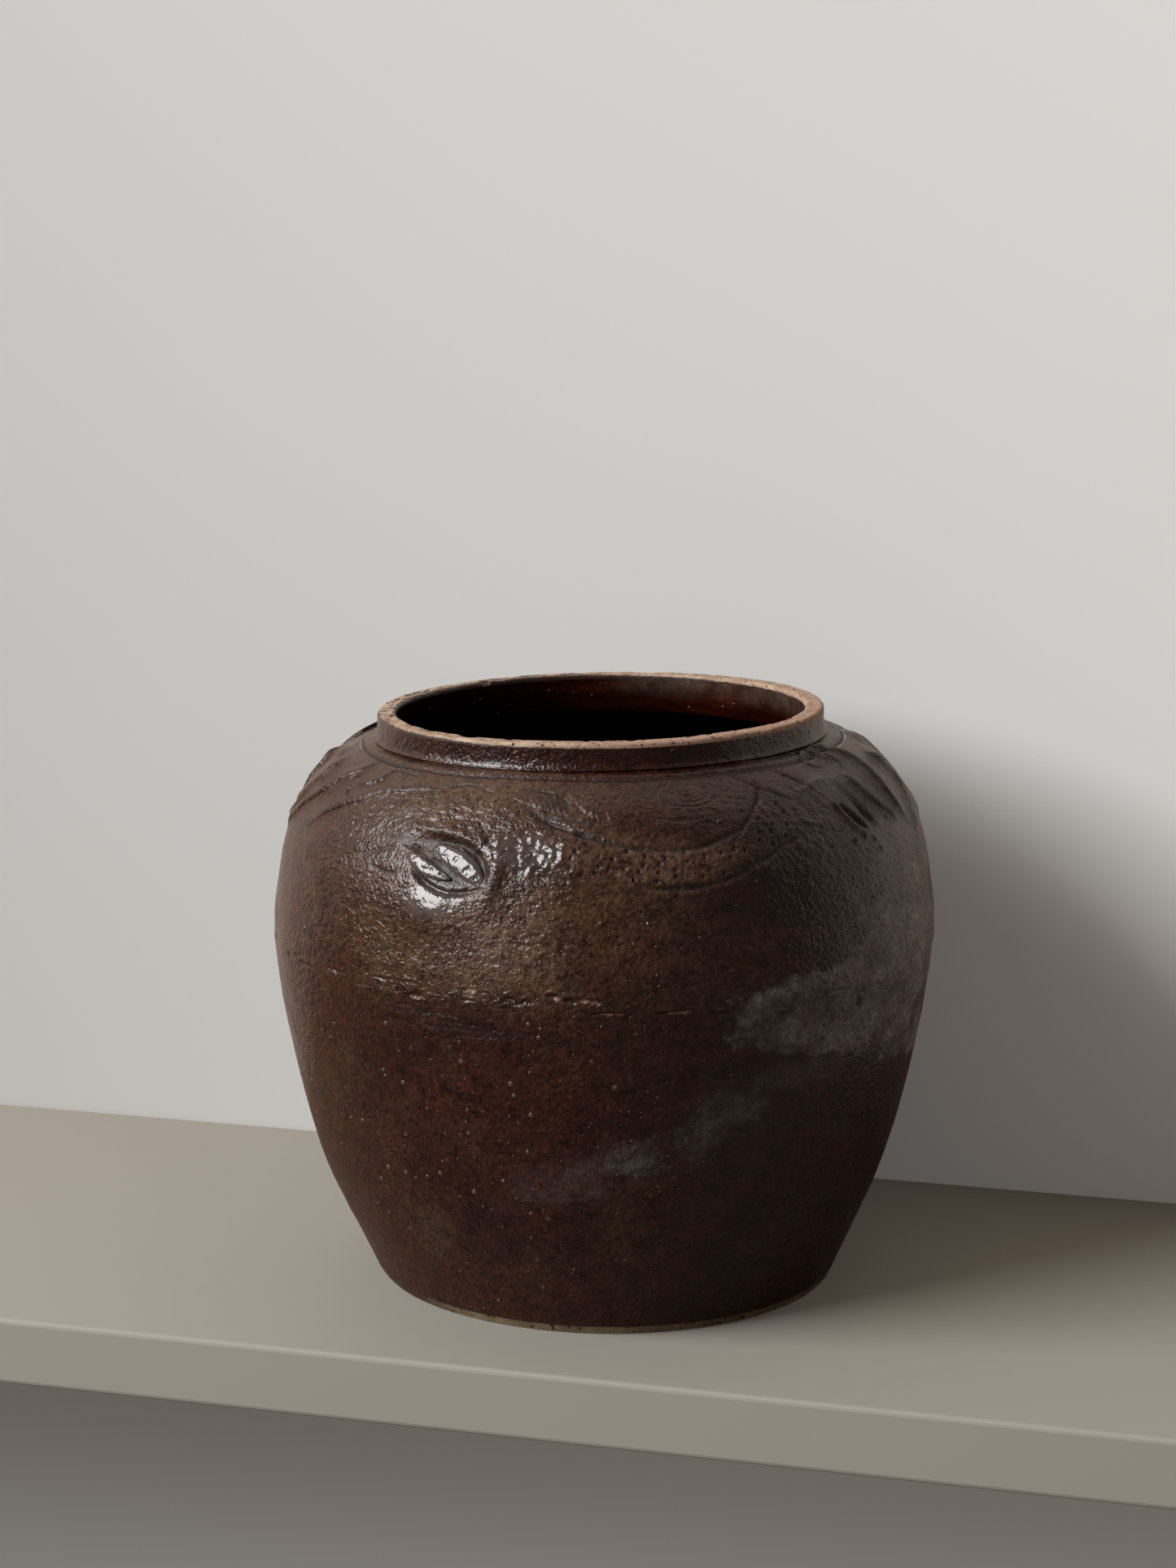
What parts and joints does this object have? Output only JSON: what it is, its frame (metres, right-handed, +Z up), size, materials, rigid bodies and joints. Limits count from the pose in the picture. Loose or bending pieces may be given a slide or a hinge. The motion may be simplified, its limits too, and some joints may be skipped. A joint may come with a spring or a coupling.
{
  "type": "martaban jar",
  "caption": "Squat stoneware storage jar with a wide mouth, a short upright collar, a full shoulder with leaf and scroll relief, and a narrower flat foot.",
  "frame": {"origin": "middle of the foot, on the surface that the jar stands on", "axes": "+Z up along the jar's axis, front (the side in the picture) towards -Y, +X to the right of the front"},
  "size_m": [0.27, 0.27, 0.2325],
  "materials": {
    "brown_glaze": "glossy chocolate-brown ash glaze with an orange-peel skin, redder and greyer in patches",
    "inner_glaze": "thin dark brown glaze over throwing lines",
    "bare_clay": "unglazed buff stoneware, dry, with dark specks"
  },
  "bodies": {
    "root": {"base_slab": "bare_clay", "lower_wall": "brown_glaze", "seam_coil": "inner_glaze", "shoulder_wall": "brown_glaze", "neck_collar": "brown_glaze", "rim_lip": "bare_clay", "leaf_front_left": "brown_glaze", "twin_leaf_front_left": "brown_glaze", "scroll_front_left_upper": "brown_glaze", "scroll_front_left_lower": "brown_glaze", "leaf_front_right": "brown_glaze", "twin_leaf_front_right": "brown_glaze", "scroll_front_right_upper": "brown_glaze", "scroll_front_right_lower": "brown_glaze", "leaf_back_left": "brown_glaze", "twin_leaf_back_left": "brown_glaze", "scroll_back_left_upper": "brown_glaze", "scroll_back_left_lower": "brown_glaze", "leaf_back_right": "brown_glaze", "twin_leaf_back_right": "brown_glaze", "scroll_back_right_upper": "brown_glaze", "scroll_back_right_lower": "brown_glaze"}
  },
  "joints": []
}
